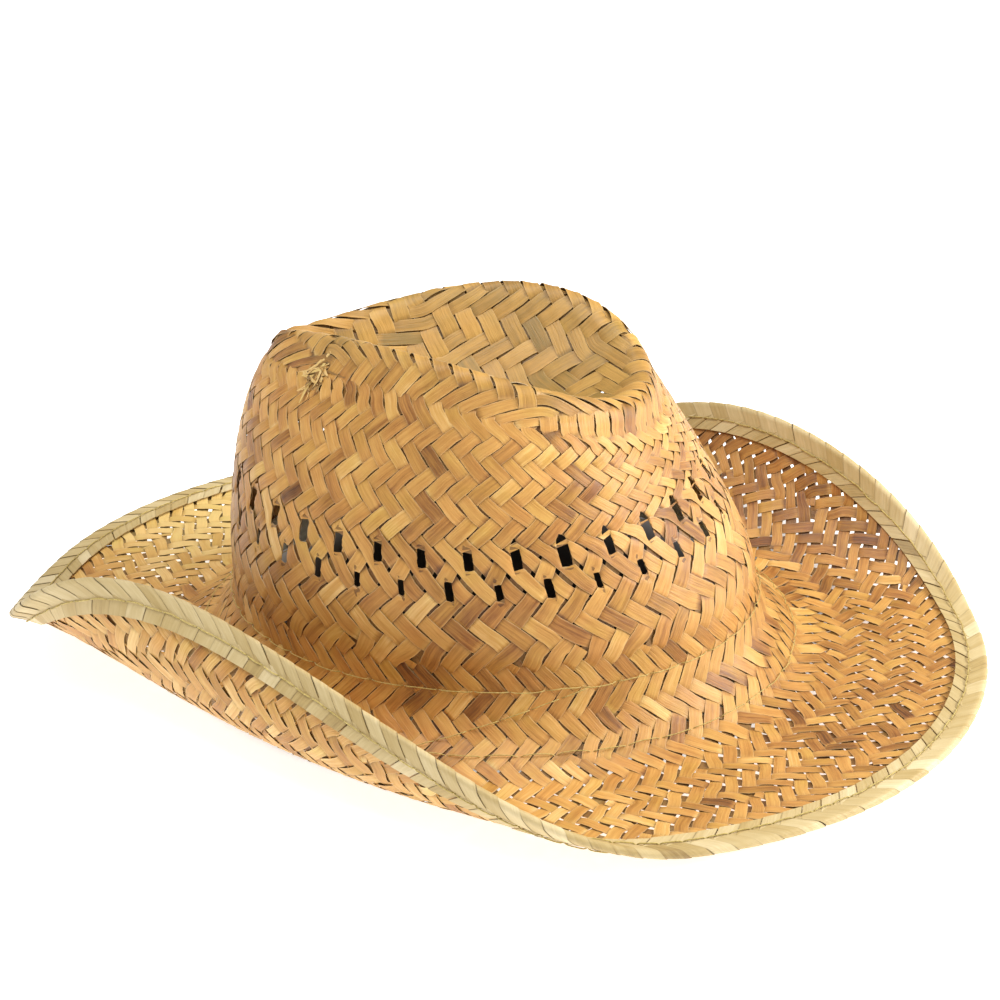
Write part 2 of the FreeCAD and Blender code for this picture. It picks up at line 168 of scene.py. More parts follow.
def brim_point(theta, distance):
    """Points this far out from the crown's foot, along the fillet and then the brim."""
    inner, outer = flat_ends(theta)
    t = (distance / brim_width(theta))[..., None]
    flat = inner + t * (outer - inner)
    point = roll(flat[..., 0], flat[..., 1])
    inside = np.clip(FILLET - distance, 0.0, FILLET)
    point[..., 2] += FILLET - np.sqrt(FILLET ** 2 - inside ** 2)
    return point


def ridge_point(theta):
    c, s = np.cos(theta), np.sin(theta)
    x = RIDGE_X * c * (1.0 + RIDGE_TAPER * s + RIDGE_PINCH * s * s)
    y = RIDGE_SHIFT_Y + RIDGE_Y * s
    z = RIDGE_Z - RIDGE_DROP_BACK * s + RIDGE_ARCH * np.cos(2 * theta)
    z = z + RIDGE_TILT * c + RIDGE_WAVE * np.sin(3 * theta)
    return np.stack([x, y, z], -1)


def unit(v):
    return v / np.maximum(np.linalg.norm(v, axis=-1, keepdims=True), 1e-9)


def ring_angles(count):
    """Angles once around, from the front to the front."""
    return np.linspace(-0.5 * np.pi, 1.5 * np.pi, count)


def running_length(points):
    """Length of the line from its first point to each of its points."""
    steps = np.linalg.norm(np.diff(points, axis=-2), axis=-1)
    return np.concatenate([np.zeros(steps.shape[:-1] + (1,)), np.cumsum(steps, -1)], -1)


def brim_frame(theta, distance):
    """Point of the fillet or brim, and the direction out of its upper face."""
    point = brim_point(theta, distance)
    step = brim_point(theta, distance + 0.05) - point
    around = brim_point(theta + 0.002, distance) - point
    return point, unit(np.cross(step, around))


def bezier(points, t):
    while len(points) > 1:
        points = [a + (b - a) * t for a, b in zip(points, points[1:])]
    return points[0]


def crown_meridians(theta):
    """Points from the dent's centre to the wall's foot, and their shares of the wall (-1 above it)."""
    ridge = ridge_point(theta)
    centre = np.array([0.0, DENT_Y, DENT_Z])
    foot = brim_point(theta, 0.0)
    chord = unit(foot - ridge)
    outward = unit(foot * [1 / BASE_X, 1 / BASE_Y, 0])
    leaving = unit(chord + outward * (WALL_SPREAD - WALL_SPREAD_FRONT * outward[:, 1:2]))
    inner = ridge + unit(centre - ridge) * RIDGE_REACH
    outer = ridge + leaving * RIDGE_REACH
    control = 2 * ridge - 0.5 * (inner + outer)
    height = (outer - foot)[:, 2:3]
    upright = WALL_UPRIGHT - WALL_UPRIGHT_FRONT * np.sin(theta)[:, None]
    up = np.array([0.0, 0.0, 1.0])
    wall = [outer, outer + leaving * WALL_LEAVE * height, foot + up * upright * height, foot]
    rows = []
    for t in np.linspace(0, 1, DENT_ROWS, endpoint=False):
        point = centre + (inner - centre) * t
        point[:, 2] = DENT_Z + (inner[:, 2] - DENT_Z) * t ** DENT_POWER
        rows.append(point)
    rows += [bezier([inner, control, outer], t) for t in np.linspace(0, 1, RIDGE_ROWS, endpoint=False)]
    wall_t = np.linspace(0, 1, WALL_ROWS)
    rows += [bezier(wall, t) for t in wall_t]
    return np.stack(rows, 1), np.append(np.full(DENT_ROWS + RIDGE_ROWS, -1.0), wall_t)


def ring_lines(theta, rings):
    """Each ring's points at these angles, and how far inside the brim's edge they are."""
    crown, wall_t = crown_meridians(theta)
    width = brim_width(theta)
    turns = np.linspace(0, 0.5 * np.pi, 31)[1:]
    sweep = [brim_point(theta, FILLET * (1 - math.cos(a))) for a in turns]
    line = np.concatenate([crown, np.stack(sweep, 1)], 1)
    arc = running_length(line)
    wall_from = int(np.argmax(wall_t >= 0))
    anchors = [0, MAT_RINGS, VENT_RING, VENT_RING + 2, FILLET_RING]
    points = np.zeros((len(rings), len(theta), 3))
    margin = np.full((len(rings), len(theta)), 99.0)
    for i in range(len(theta)):
        wall_z = line[i, wall_from:, 2]
        wall_arc = arc[i, wall_from:]
        mat_end = np.interp(MAT_END_T, wall_t[wall_from:], arc[i, wall_from:crown.shape[1]])
        upper, lower = (np.interp(-z, -wall_z, wall_arc) for z in VENT_Z)
        at = np.interp(rings, anchors, [0.0, mat_end, upper, lower, arc[i, -1]])
        for axis in range(3):
            points[:, i, axis] = np.interp(at, arc[i], line[i, :, axis])
    for j, ring in enumerate(rings):
        if ring > FILLET_RING:
            distance = FILLET + (ring - FILLET_RING) * BRIM_RING_STEP
            points[j] = brim_point(theta, distance)
            margin[j] = width - distance
    return points, margin


class Surface:
    """Middle of the weave, looked up by u (share of a ring) and ring number."""

    STEPS = 4
    AROUND = 960

    def __init__(self):
        theta = ring_angles(1201)
        rings = np.arange(0, LAST_RING + 1e-6, 1 / self.STEPS)
        points, margin = ring_lines(theta, rings)
        self.points = np.zeros((len(rings), self.AROUND, 3))
        self.margin = np.zeros((len(rings), self.AROUND))
        self.length = np.zeros(len(rings))
        shares = np.arange(self.AROUND) / self.AROUND
        for j in range(len(rings)):
            run = running_length(points[j])
            self.length[j] = run[-1]
            run = run / run[-1] if run[-1] > 1 else np.linspace(0, 1, len(theta))
            at = np.interp(shares, run, theta)
            for axis in range(3):
                self.points[j, :, axis] = np.interp(at, theta, points[j, :, axis])
            self.margin[j] = np.interp(at, theta, margin[j])
        along = np.gradient(self.points, axis=0)
        around = np.roll(self.points, -1, 1) - np.roll(self.points, 1, 1)
        self.normals = unit(np.cross(along, around))
        self.normals[0] = [0, 0, 1]

    def look(self, table, u, ring):
        """Value of a table at these places, blended between its four nearest entries."""
        a = np.mod(u, 1.0) * self.AROUND
        b = np.clip(ring * self.STEPS, 0, len(table) - 1.001)
        i, j = np.floor(a).astype(int), np.floor(b).astype(int)
        fa, fb = a - i, b - j
        i0, i1 = i % self.AROUND, (i + 1) % self.AROUND
        if table.ndim == 3:
            fa, fb = fa[:, None], fb[:, None]
        low = table[j, i0] * (1 - fa) + table[j, i1] * fa
        high = table[j + 1, i0] * (1 - fa) + table[j + 1, i1] * fa
        return low * (1 - fb) + high * fb

    def ring_length(self, ring):
        return np.interp(ring, np.arange(len(self.length)) / self.STEPS, self.length)


surface = Surface()


# ---- lattice of crossings: ring -> list of places; strips are chains of crossings ----

class Strip:
    """A chain of crossings: ring, place in the ring, and whether this strip lies on top there."""

    def __init__(self):
        self.rings, self.places, self.over = [], [], []

    def add(self, ring, index, over):
        self.rings.append(ring)
        self.places.append(index)
        self.over.append(over)

    def extend(self, other):
        self.rings += other.rings
        self.places += other.places
        self.over += other.over

    def backwards(self):
        turned = Strip()
        turned.rings, turned.places, turned.over = self.rings[::-1], self.places[::-1], self.over[::-1]
        return turned


def quadrant_share(i, j):
    """Share of the square ring |i| + |j| at which this crossing of the flat mat lies, and its quadrant."""
    m = abs(i) + abs(j)
    if m == 0:
        return 0.0, 0
    if i > 0 and j >= 0:
        return (j / m) / 4, 0
    if j > 0 and i <= 0:
        return (1 - i / m) / 4, 1
    if i < 0 and j <= 0:
        return (2 - j / m) / 4, 2
    return (3 + i / m) / 4, 3


def a_is_over(ring, index):
    """Two over, two under. Beside the slits most A strips lie on top, and below them the order changes."""
    if ring <= VENT_RING:
        return ring % 4 in (3, 0)
    if ring == VENT_RING + 1:
        return index % 2 == 0
    if ring == VENT_RING + 2:
        return True
    return ring % 4 in (1, 2)


def mat_lines():
    """Strips of the flat mat, each a list of (ring, index, over, whether it is an A strip there)."""
    lines = []
    for kind in (0, 1):
        for fixed in range(-MAT_RINGS + 1, MAT_RINGS):
            reach = MAT_RINGS - abs(fixed)
            line = []
            for step in range(-reach, reach + 1):
                i, j = (fixed, step) if kind == 0 else (step, fixed)
                share, quadrant = quadrant_share(i, j)
                m = abs(i) + abs(j)
                role_a = (quadrant + kind) % 2 == 0
                line.append((m, round(share * 4 * m), a_is_over(m, 0) == role_a, role_a))
            lines.append(line)
    return lines


def fresh_spots(ring, count, inserted):
    """Places in a ring where new strips start, spread by the golden ratio, and the new total."""
    if ring < FIRST_INSERT_RING:
        return [], inserted
    golden = 0.5 * (math.sqrt(5) - 1)
    wanted = int(surface.ring_length(ring) / BRIM_PITCH) - count
    made = max(min(wanted, count // MOST_INSERTS), 0)
    spots = {int(((inserted + n + 1) * golden % 1.0) * count) for n in range(made)}
    return sorted(spots, reverse=True), inserted + made


def evened(u):
    """Places of a ring, moved towards the middle of their neighbours."""
    for _ in range(3):
        before = np.append(u[-1] - 1, u[:-1])
        after = np.append(u[1:], u[0] + 1)
        u = 0.5 * u + 0.25 * (before + after)
    return u


def grow_wall():
    """Places of every ring's crossings, the chains that leave the mat, and the strips that start later."""
    places = {m: MAT_TURN + np.arange(4 * m) / (4 * m) for m in range(1, MAT_RINGS + 1)}
    places[0] = np.array([MAT_TURN])
    chains_a, chains_b = ([Strip() for _ in range(WALL_CROSSINGS)] for _ in range(2))
    now_a, now_b = list(chains_a), list(chains_b)
    extra = []
    u = places[MAT_RINGS]
    inserted = 0
    for ring in range(MAT_RINGS + 1, LAST_RING + 1):
        # a crossing lies between two parents: A comes from the first, B from the second
        new_u = list(0.5 * (u + np.append(u[1:], u[0] + 1)))
        now_b = now_b[1:] + now_b[:1]
        spots, inserted = fresh_spots(ring, len(u), inserted)
        for spot in spots:
            fresh_a, fresh_b = Strip(), Strip()
            extra += [fresh_a, fresh_b]
            new_u.insert(spot, u[spot])
            now_a.insert(spot, fresh_a)
            now_b.insert(spot, fresh_b)
        u = np.array(new_u)
        if len(u) != WALL_CROSSINGS:
            u = evened(u)
        places[ring] = u
        for n in range(len(u)):
            now_a[n].add(ring, n, a_is_over(ring, n))
            now_b[n].add(ring, n, not a_is_over(ring, n))
    return places, chains_a, chains_b, extra


def all_strips():
    """Places of the crossings, and every strip: mat strips run on down the wall at both ends."""
    places, chains_a, chains_b, strips = grow_wall()
    used_a, used_b = set(), set()
    for line in mat_lines():
        full = Strip()
        for m, index, over, _ in line:
            full.add(m, index % max(4 * m, 1), over)
        for at_end in (False, True):
            _, index, _, role_a = line[-1 if at_end else 0]
            if index % MAT_RINGS == 0:
                # at a corner of the square both kinds of strip meet
                role_a = index // MAT_RINGS < 2
            chain = (chains_a if role_a else chains_b)[index % WALL_CROSSINGS]
            (used_a if role_a else used_b).add(index % WALL_CROSSINGS)
            if at_end:
                full.extend(chain)
            else:
                turned = chain.backwards()
                turned.extend(full)
                full = turned
        strips.append(full)
    for chains, used in ((chains_a, used_a), (chains_b, used_b)):
        for n, chain in enumerate(chains):
            if n not in used:
                start = Strip()
                start.add(MAT_RINGS, n, not a_is_over(MAT_RINGS, n))
                start.extend(chain)
                strips.append(start)
    return places, strips


def mat_places(ring, u):
    """u and ring of the top's crossings, moved so that strips run smoothly past the square's corners."""
    share = np.mod(u - MAT_TURN, 1.0) * 4
    quadrant = np.floor(share + 1e-6)
    along = share - quadrant
    turned = quadrant * 0.5 * np.pi
    i, j = (1 - along) * ring / MAT_RINGS, along * ring / MAT_RINGS
    a, b = i + j, i - j
    smooth_x, smooth_y = a * np.sqrt(1 - 0.5 * b * b), b * np.sqrt(1 - 0.5 * a * a)
    smooth_turn = 0.25 * np.pi - np.arctan2(smooth_y, smooth_x)
    smooth_reach = np.hypot(smooth_x, smooth_y)
    plain_turn, plain_reach = along * 0.5 * np.pi, ring / MAT_RINGS
    mixed = [
        MAT_SMOOTHING * smooth_reach * f(smooth_turn) + (1 - MAT_SMOOTHING) * plain_reach * f(plain_turn)
        for f in (np.cos, np.sin)
    ]
    angle = np.arctan2(mixed[1], mixed[0]) + turned
    return angle / (2 * np.pi) + MAT_TURN, np.hypot(mixed[0], mixed[1]) * MAT_RINGS


def crossing_tables(places):
    """Point, normal and margin of every crossing, with small hand-made errors."""
    tables = {}
    for ring, u in places.items():
        count = len(u)
        after, before = np.append(u[1:], u[0] + 1), np.append(u[-1] - 1, u[:-1])
        pitch_u = 1.0 / count if ring < 2 else 0.5 * (after - before)
        beside_slits = VENT_RING - 2 < ring < VENT_RING + 4
        loose = np.interp(ring, [40, 52], [0.03, 0.07]) * (0.3 if beside_slits else 1.0)
        at_u, at_ring = mat_places(ring, u) if ring <= MAT_RINGS else (u, np.full(count, float(ring)))
        at_u = at_u + rng.normal(0, loose, count) * pitch_u
        at_ring = np.abs(at_ring + rng.normal(0, loose, count) * (ring > 0))
        tables[ring] = [
            surface.look(table, at_u, at_ring)
            for table in (surface.points, surface.normals, surface.margin)
        ]
    return tables


def lane_tables(tables, strips):
    """For every crossing, the two strips that pass and their steps, to know how wide each strip may be."""
    links = {ring: [[] for _ in table[0]] for ring, table in tables.items()}
    for number, strip in enumerate(strips):
        points = np.array([tables[ring][0][place] for ring, place in zip(strip.rings, strip.places)])
        steps = np.gradient(points, axis=0) if len(points) > 1 else np.zeros_like(points)
        for ring, place, step in zip(strip.rings, strip.places, steps):
            links[ring][place].append((number, step))
    return links


def lane_width(links, number, strip):
    """Distance between this strip's neighbours at each of its crossings."""
    known, widths = [], []
    for at, (ring, place) in enumerate(zip(strip.rings, strip.places)):
        here = links[ring][place]
        own = next(step for who, step in here if who == number)
        other = [step for who, step in here if who != number]
        if other:
            tangent = unit(own)
            known.append(at)
            widths.append(np.linalg.norm(other[0] - tangent * float(other[0] @ tangent)))
    return np.interp(np.arange(len(strip.rings)), known, widths)


def fill_share(ring):
    return np.interp(ring, FILL_RINGS, FILL_SHARES)


def catmull(points, t):
    """Points between neighbours of a chain, at each share t of every link."""
    before = np.concatenate([2 * points[:1] - points[1:2], points[:-1]])[:-1]
    a, b = points[:-1], points[1:]
    after = np.concatenate([points[1:], 2 * points[-1:] - points[-2:-1]])[1:]
    t = t[None, :, None]
    a, b, before, after = (q[:, None, :] for q in (a, b, before, after))
    value = 0.5 * (
        2 * a + (b - before) * t + (2 * before - 5 * a + 4 * b - after) * t ** 2
        + (3 * a - before - 3 * b + after) * t ** 3
    )
    return np.concatenate([value.reshape(-1, points.shape[1]), points[-1:]])


def straight(values, t):
    """Values that change evenly between crossings."""
    between = values[:-1, None] + (values[1:] - values[:-1])[:, None] * t[None, :]
    return np.append(between.ravel(), values[-1])


def smooth_steps(values, t):
    """Values that stay level near a crossing and change between crossings."""
    s = np.clip((t - 0.26) / 0.48, 0, 1)
    return straight(values, s * s * (3 - 2 * s))


def bulges(over, t):
    """Extra height between two crossings where the strip stays on the same side."""
    stays = (over[:-1] == over[1:]) * np.where(over[:-1], 1.0, -1.0)
    rise = np.sin(np.pi * t)[None, :] * stays[:, None]
    return BULGE * np.append(rise.ravel(), 0.0)


def stepped(values, t):
    """Values that change halfway between crossings."""
    between = np.where(t[None, :] < 0.5, values[:-1, None], values[1:, None])
    return np.append(between.ravel(), values[-1])


# section of a strip: across (share of half-width) and height (share of thickness)
SECTION = np.array([
    (-1.0, -0.4), (-0.97, 0.36), (-0.5, 0.56), (0.5, 0.56), (0.97, 0.36), (1.0, -0.4),
])


def sleeve_faces(start, stations, sides, way=1):
    """Side and end faces of a closed strip or thread; way is 1 or -1 and turns them over."""
    i = np.arange(stations - 1)[:, None] * sides + start
    k = np.arange(sides)[None, :]
    after = (k + 1) % sides
    corners = [i + k, i + after, i + sides + after, i + sides + k]
    if way < 0:
        corners = corners[:1] + corners[:0:-1]
    quads = np.stack(corners, -1).reshape(-1, 4).tolist()
    first = list(range(start, start + sides))
    last = [n + (stations - 1) * sides for n in first]
    return quads + [first[::-way], last[::way]]


class StrawMesh:
    """Gathers strips as one mesh with straw attributes."""

    def __init__(self):
        self.faces, self.count = [], 0
        self.columns = {name: [] for name in ("verts", "strip", "tone", "shade", "yellow")}

    def add(self, centre, side, normal, halves, lift, thickness, tone, seed, shade, yellow):
        """A strip along its centre line; halves are its widths to the left and to the right."""
        stations, sides = len(centre), len(SECTION)
        across = SECTION[:, 0]
        reach = np.where(across < 0, halves[0][:, None], halves[1][:, None]) * across[None, :]
        rise = lift[:, None] + SECTION[None, :, 1] * thickness
        verts = centre[:, None] + side[:, None] * reach[..., None] + normal[:, None] * rise[..., None]
        strip = np.empty((stations, sides, 3))
        strip[..., 0] = running_length(centre)[:, None]
        strip[..., 1] = across[None, :]
        strip[..., 2] = seed
        self.add_rows(verts, strip, np.repeat(tone, sides), shade.ravel(), np.repeat(yellow, sides))

    def add_rows(self, verts, strip, *values):
        """A strip given as stations x section points, with its tone, shade and yellow."""
        stations, sides = verts.shape[:2]
        self.faces += sleeve_faces(self.count, stations, sides)
        self.count += stations * sides
        for column, part in zip(self.columns.values(), (verts.reshape(-1, 3), strip.reshape(-1, 3), *values)):
            column.append(part)

    def build(self, name, material, node, slot):
        verts, strip, *values = (np.concatenate(column) for column in self.columns.values())
        piece = mesh_object(name, verts, self.faces, material)
        piece.data.set_sharp_from_angle(angle=math.radians(38))
        add_vectors(piece.data, strip)
        for label, numbers in zip(("tone", "shade", "yellow"), values):
            attribute = piece.data.attributes.new(label, "FLOAT", "POINT")
            attribute.data.foreach_set("value", numbers.astype(np.float32))
        place_piece(piece, node)


def mesh_object(name, verts_mm, faces, material, smooth=True):
    """A mesh object from points in millimetres."""
    data = bpy.data.meshes.new(name)
    data.from_pydata((np.asarray(verts_mm) * MM).tolist(), [], faces)
    data.update()
    data.polygons.foreach_set("use_smooth", [smooth] * len(data.polygons))
    obj = bpy.data.objects.new(name, data)
    bpy.context.scene.collection.objects.link(obj)
    data.materials.append(material)
    return obj


def add_vectors(data, vectors):
    """Store run, across and seed of each point, which the materials look up."""
    attribute = data.attributes.new("strip", "FLOAT_VECTOR", "POINT")
    attribute.data.foreach_set("vector", vectors.astype(np.float32).ravel())


def place_piece(piece, node):
    """Every piece rides on the hat and stands for a CAD node, which is hidden."""
    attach(piece, "root")
    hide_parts(node)


# ---- materials ----

def linear(r, g, b):
    """A colour given as 0..255 screen values, as the linear values that shaders use."""
    values = [v / 255 for v in (r, g, b)]
    return tuple(((v + 0.055) / 1.055) ** 2.4 if v > 0.04045 else v / 12.92 for v in values) + (1.0,)


def stops(*rows):
    """A colour ramp, from rows of a place and a screen colour."""
    return [(place, linear(*colour)) for place, *colour in rows]


class Nodes:
    """Short calls for building a material's node tree."""

    def __init__(self, name):
        self.material = bpy.data.materials.new(name)
        self.material.use_nodes = True
        self.tree = self.material.node_tree
        self.shader = self.tree.nodes["Principled BSDF"]

    def node(self, kind, inputs=(), **values):
        """A new node with some of its properties set, and its first inputs linked or filled."""
        made = self.tree.nodes.new(kind)
        for key, value in values.items():
            setattr(made, key, value)
        for socket, value in zip(made.inputs, inputs):
            self.put(socket, value)
        return made

    def put(self, socket, value):
        """Give a socket another socket's value, or a plain value."""
        if hasattr(value, "is_linked"):
            self.tree.links.new(value, socket)
        else:
            socket.default_value = value

    def maths(self, operation, a, b=0.0):
        return self.node("ShaderNodeMath", (a, b, 0.0), operation=operation).outputs[0]

    def plus(self, a, b):
        return self.maths("ADD", a, b)

    def times(self, a, b):
        return self.maths("MULTIPLY", a, b)

    def swing(self, value, amount):
        """A noise value, 0..1, as a change of up to half the amount either way."""
        return self.times(self.maths("SUBTRACT", value, 0.5), amount)

    def attribute(self, name):
        """One of the point values stored in the mesh; a vector for strip, else a number."""
        outputs = self.node("ShaderNodeAttribute", attribute_name=name).outputs
        return outputs["Vector" if name == "strip" else "Fac"]

    def noise(self, vector, scale, detail=2.0, roughness=0.5):
        return self.node("ShaderNodeTexNoise", (vector, 0.0, scale, detail, roughness)).outputs["Fac"]

    def ramp(self, value, stops):
        made = self.node("ShaderNodeValToRGB")
        self.put(made.inputs["Fac"], value)
        band = made.color_ramp
        while len(band.elements) < len(stops):
            band.elements.new(0.5)
        for element, (place, colour) in zip(band.elements, stops):
            element.position = place
            element.color = colour
        return made.outputs["Color"]

    def mix(self, share, a, b, blend="MIX"):
        made = self.node("ShaderNodeMix", data_type="RGBA", blend_type=blend)
        self.put(made.inputs[0], share)
        self.put(made.inputs[6], a)
        self.put(made.inputs[7], b)
        return made.outputs[2]

    def stretched(self, vector, scale):
        return self.node("ShaderNodeVectorMath", (vector, scale), operation="MULTIPLY").outputs[0]

    def split(self, vector):
        return self.node("ShaderNodeSeparateXYZ", (vector,)).outputs

    def surface(self, colour, roughness):
        self.put(self.shader.inputs["Base Color"], colour)
        self.put(self.shader.inputs["Roughness"], roughness)

    def bump(self, height, distance, strength):
        made = self.node("ShaderNodeBump")
        for name, value in (("Height", height), ("Distance", distance), ("Strength", strength)):
            self.put(made.inputs[name], value)
        self.put(self.shader.inputs["Normal"], made.outputs[0])


def straw_material(name, stops, roughness=0.5, spread=1.0, seam=False):
    """Straw with fibres, streaks and patches, and painted shade in its low places; plain straw gets painted
    highlights on its long edges, a seamed braid painted shadow lines between its tiles.
    """
    n = Nodes(name)
    strip = n.attribute("strip")
    value = n.attribute("tone")
    fibre = n.noise(n.stretched(strip, (0.05, 2.6, 13.7)), 1.6, 3.0, 0.65)
    streak = n.noise(n.stretched(strip, (0.02, 0.9, 5.3)), 1.3)
    patch = n.noise(n.stretched(strip, (0.12, 0.5, 9.1)), 1.0)
    for noise, amount in ((fibre, 0.55), (streak, 0.4), (patch, 0.25)):
        value = n.plus(value, n.swing(noise, amount * spread))
    colour = n.ramp(value, stops)
    across = n.maths("ABSOLUTE", n.split(strip)[1])
    if seam:
        # a thin painted shadow line where one tile of the braid lies on the next
        colour = n.mix(n.times(n.maths("POWER", across, 26.0), 0.9), colour, SEAM_SHADOW_COLOUR)
    else:
        # some stretches are pinker, some greener, and the long edges get a painted highlight
        hue = n.noise(n.stretched(strip, (0.06, 0.15, 7.7)), 1.0)
        colour = n.mix(1.0, colour, n.ramp(hue, HUE_STOPS), "MULTIPLY")
        colour = n.mix(n.times(n.maths("POWER", across, 18.0), 0.5), colour, EDGE_HIGHLIGHT_COLOUR)
    colour = n.mix(n.times(n.attribute("yellow"), 0.42), colour, YELLOW_COLOUR)
    # painted shade in the low places between the strips, where a strip dives under its neighbours
    shade = n.maths("SUBTRACT", 1.0, n.attribute("shade"))
    colour = n.mix(n.times(shade, 0.62), colour, PAINTED_SHADE_COLOUR)
    n.surface(colour, n.plus(n.times(fibre, 0.25), roughness - 0.16))
    n.put(n.shader.inputs["Specular IOR Level"], 0.48)
    n.bump(fibre, 0.00035, 0.7)
    return n.material


HUE_STOPS = [(0.3, (1.03, 0.96, 0.88, 1)), (0.5, (1, 0.99, 0.93, 1)), (0.7, (0.95, 0.99, 0.76, 1))]
# the first is the colour of a painted shadow line at the braid's seams, the second of a painted highlight on
# the strips' edges
SEAM_SHADOW_COLOUR, EDGE_HIGHLIGHT_COLOUR = linear(92, 68, 30), linear(242, 212, 160)
# the second is the colour of painted shade in the low places between the strips
YELLOW_COLOUR, PAINTED_SHADE_COLOUR = linear(206, 178, 92), linear(66, 36, 14)
STRAW_STOPS = stops(
    (0.02, 84, 48, 20), (0.22, 142, 92, 40), (0.45, 186, 133, 66),
    (0.68, 208, 159, 86), (0.95, 234, 198, 134),
)
BRAID_STOPS = stops((0.02, 128, 100, 54), (0.3, 182, 156, 100), (0.6, 202, 180, 130), (0.95, 226, 208, 166))


# ---- the weave ----

def vent_places():
    """Each slit's centre, its directions around and up, and its half-width and half-length."""
    slits = []
    for row in (0, 1):
        for i in range(VENT_COUNT):
            u = np.array([(i + 0.5 * row) / VENT_COUNT])
            ring = np.array([VENT_RING + 2.0 * row])
            centre, above, below = (surface.look(surface.points, u, ring + k)[0] for k in (0, -1, 1))
            up = unit(above - below)
            normal = surface.look(surface.normals, u, ring)[0]
            width = SLIT_HALF_WIDTH[row] * rng.uniform(0.75, 1.2)
            length = SLIT_HALF_LENGTH[row] * rng.uniform(0.85, 1.1)
            slits.append((centre, np.cross(up, normal), up, width, length))
    return slits


def slit_half(z, width, reach):
    """Half-width of a slit at height z: straight sides and short pointed ends."""
    return width * np.clip(1 - (np.abs(z) / reach) ** 5, 0, 1)


def in_slit(off, slit):
    """Whether points, given from a slit's centre, lie in its opening."""
    _, around, up, width, reach = slit
    return np.abs(off @ around) < slit_half(off @ up, width, reach)


def open_slits(verts, centres, vents):
    """Narrow and push aside the strips beside every slit, so that it stands open between them."""
    for slit in vents:
        centre, around, up, width, reach = slit
        near = np.flatnonzero((np.abs(verts - centre) < SLIT_NEAR).all(1))
        vert, line = verts[near], centres[near]
        inside = in_slit(vert - centre, slit)
        moved = vert.copy()
        for share in np.linspace(0.15, 0.85, 8):
            trial = vert + (line - vert) * share
            still = inside & in_slit(moved - centre, slit)
            moved[still] = trial[still]
        still = in_slit(moved - centre, slit)
        x, z = (moved - centre) @ around, (moved - centre) @ up
        side = np.sign((line - centre) @ around)
        push = np.maximum(slit_half(z, width, reach) - side * x, 0)
        moved += around[None, :] * (side * push * still)[:, None]
        verts[near] = moved


def dent_share(rings):
    """1 in the dent of the crown's top, 0 from the ridge outwards."""
    return np.interp(rings, [10, 14], [1.0, 0.0])


def far_share(rings, points):
    """1 on the front left of the brim, where the straw is greener, and paler from painted light."""
    left = np.clip(-points[:, 0] / 60, 0, 1)
    front = np.clip(-points[:, 1] / 80 + 0.4, 0, 1)
    return left * front * np.interp(rings, [44, 50], [0, 1])


def brim_light_share(rings, points):
    """From 1 on the front and sides of the brim, paler with painted light, to -0.5 on its back, darker with
    painted shade.
    """
    side = np.clip(0.8 + (0.9 * points[:, 0] - points[:, 1]) / 80, -0.5, 1)
    return side * np.interp(rings, [38, 50], [0, 1])


def float_tones(over):
    """One tone for each float: the tone changes where the strip dives under its neighbours."""
    number = np.cumsum(np.append(0, over[1:] != over[:-1]))
    base = MIDDLE_TONE + rng.normal(0, STRIP_TONES)
    tones = base + rng.normal(0, FLOAT_TONES, number[-1] + 1)
    dark = rng.random(len(tones)) < DARK_CHANCE
    tones = np.where(dark, rng.uniform(*DARK_TONES, len(tones)), tones)
    return tones[number]


def chosen_stations(rings, margin, t):
    """Stations short of the brim's edge; every second one is enough, except beside the slits."""
    keep = straight(margin, t) > STRIP_END
    at_ring = straight(rings, t)
    close = (at_ring > VENT_RING - 3) & (at_ring < VENT_RING + 5)
    if keep.sum() < 6:
        return None
    first, last = np.flatnonzero(keep)[[0, -1]]
    number = np.arange(len(keep))
    return (number >= first) & (number <= last) & (close | (number % 2 == 0))


